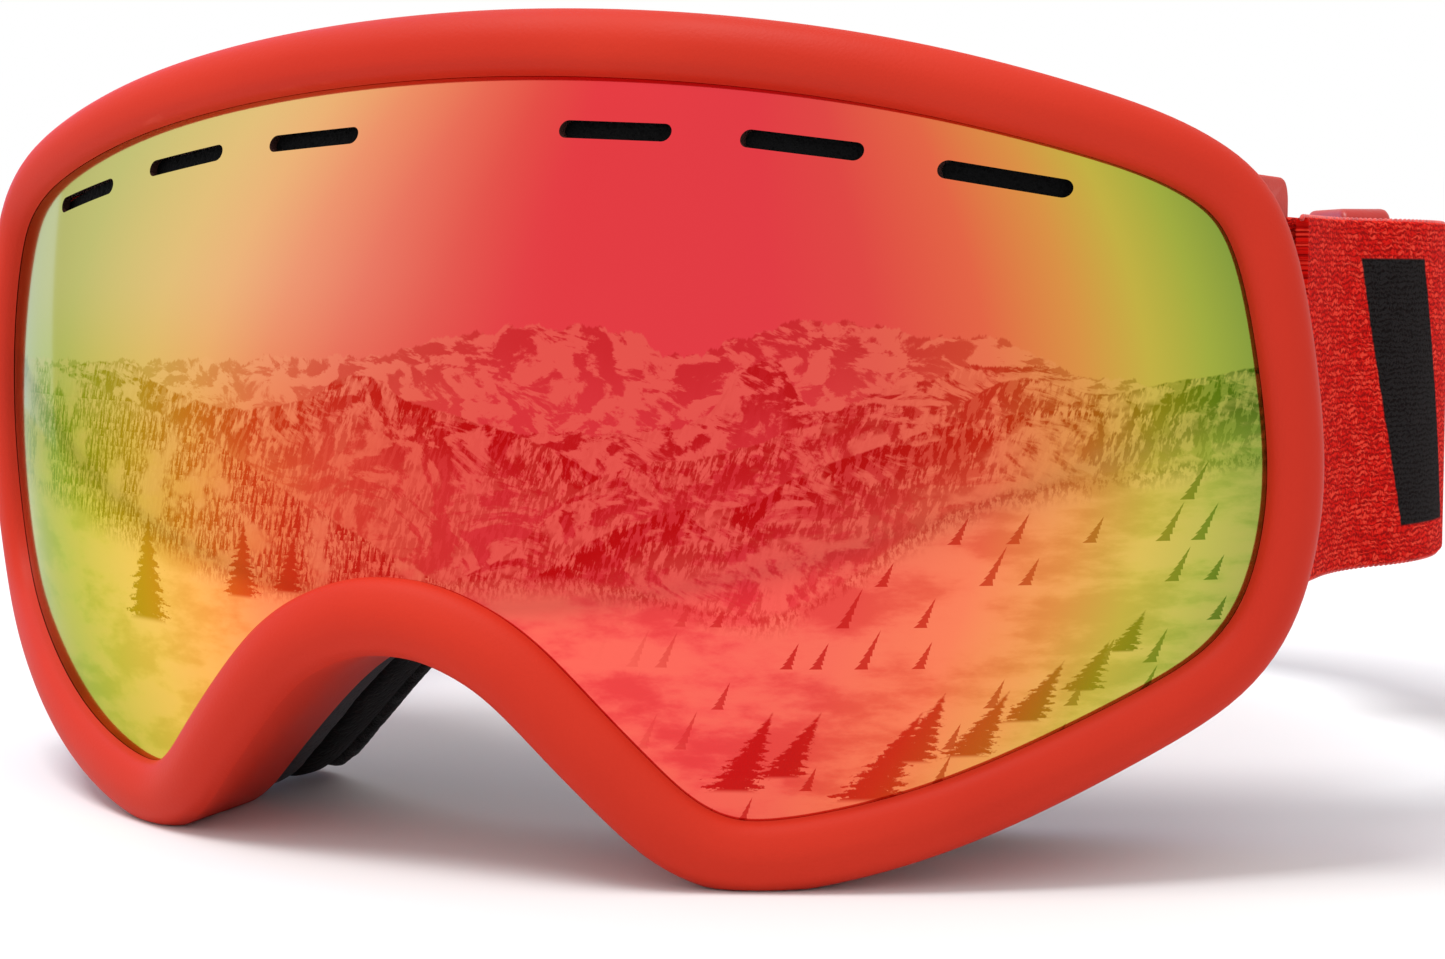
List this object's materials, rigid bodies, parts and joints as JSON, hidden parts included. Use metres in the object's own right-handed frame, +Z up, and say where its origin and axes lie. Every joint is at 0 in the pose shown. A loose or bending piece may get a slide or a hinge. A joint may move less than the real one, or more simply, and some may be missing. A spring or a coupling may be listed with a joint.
{
  "type": "ski goggles",
  "caption": "Ski goggles with a bean-shaped mirror lens in a soft red rim, layered face foam and an elastic head strap with sliding adjusters.",
  "frame": {"origin": "centre of the footprint on the surface the goggles stand on (bottom centre of the bounding box)", "axes": "lens towards -Y, wearer's left towards +X, +Z up from the surface the goggles stand on"},
  "size_m": [0.18, 0.1818, 0.0914],
  "materials": {
    "frame_rubber": "matte",
    "mirror_lens": "gloss",
    "clear_lens": "gloss",
    "spacer_foam": "matte",
    "filter_foam": "matte",
    "grey_foam": "matte",
    "black_foam": "matte",
    "fleece": "matte",
    "webbing": "matte",
    "slider_nylon": "satin"
  },
  "bodies": {
    "goggles": {"frame": "frame_rubber", "outer_lens": "mirror_lens", "lens_spacer": "spacer_foam", "inner_lens": "clear_lens", "slot_filter_left": "filter_foam", "slot_filter_right": "filter_foam", "top_vent_foam_left": "filter_foam", "top_vent_foam_middle": "filter_foam", "top_vent_foam_right": "filter_foam", "lower_vent_foam_left": "filter_foam", "lower_vent_foam_right": "filter_foam", "face_foam_base": "grey_foam", "face_foam": "black_foam", "face_fleece": "fleece", "strap_end_loop_left": "webbing", "strap_end_loop_right": "webbing"},
    "strap": {"head_strap": "webbing", "strap_tail_left": "webbing", "strap_tail_right": "webbing"},
    "slider_left": {"strap_slider_left": "slider_nylon"},
    "slider_right": {"strap_slider_right": "slider_nylon"}
  },
  "joints": [
    {"name": "strap_tilt", "type": "hinge", "parent": "goggles", "child": "strap", "pos_m": [0, -0.02684, 0.0487], "axis": [1, 0, 0], "range_deg": [-12, 12], "stiffness_Nm_per_rad": 0.3},
    {"name": "slider_left_slide", "type": "slide", "parent": "strap", "child": "slider_left", "axis": [-0.5887, 0.8084, 0], "range_m": [-0.008, 0.008]},
    {"name": "slider_right_slide", "type": "slide", "parent": "strap", "child": "slider_right", "axis": [0.5887, 0.8084, 0], "range_m": [-0.008, 0.008]}
  ]
}
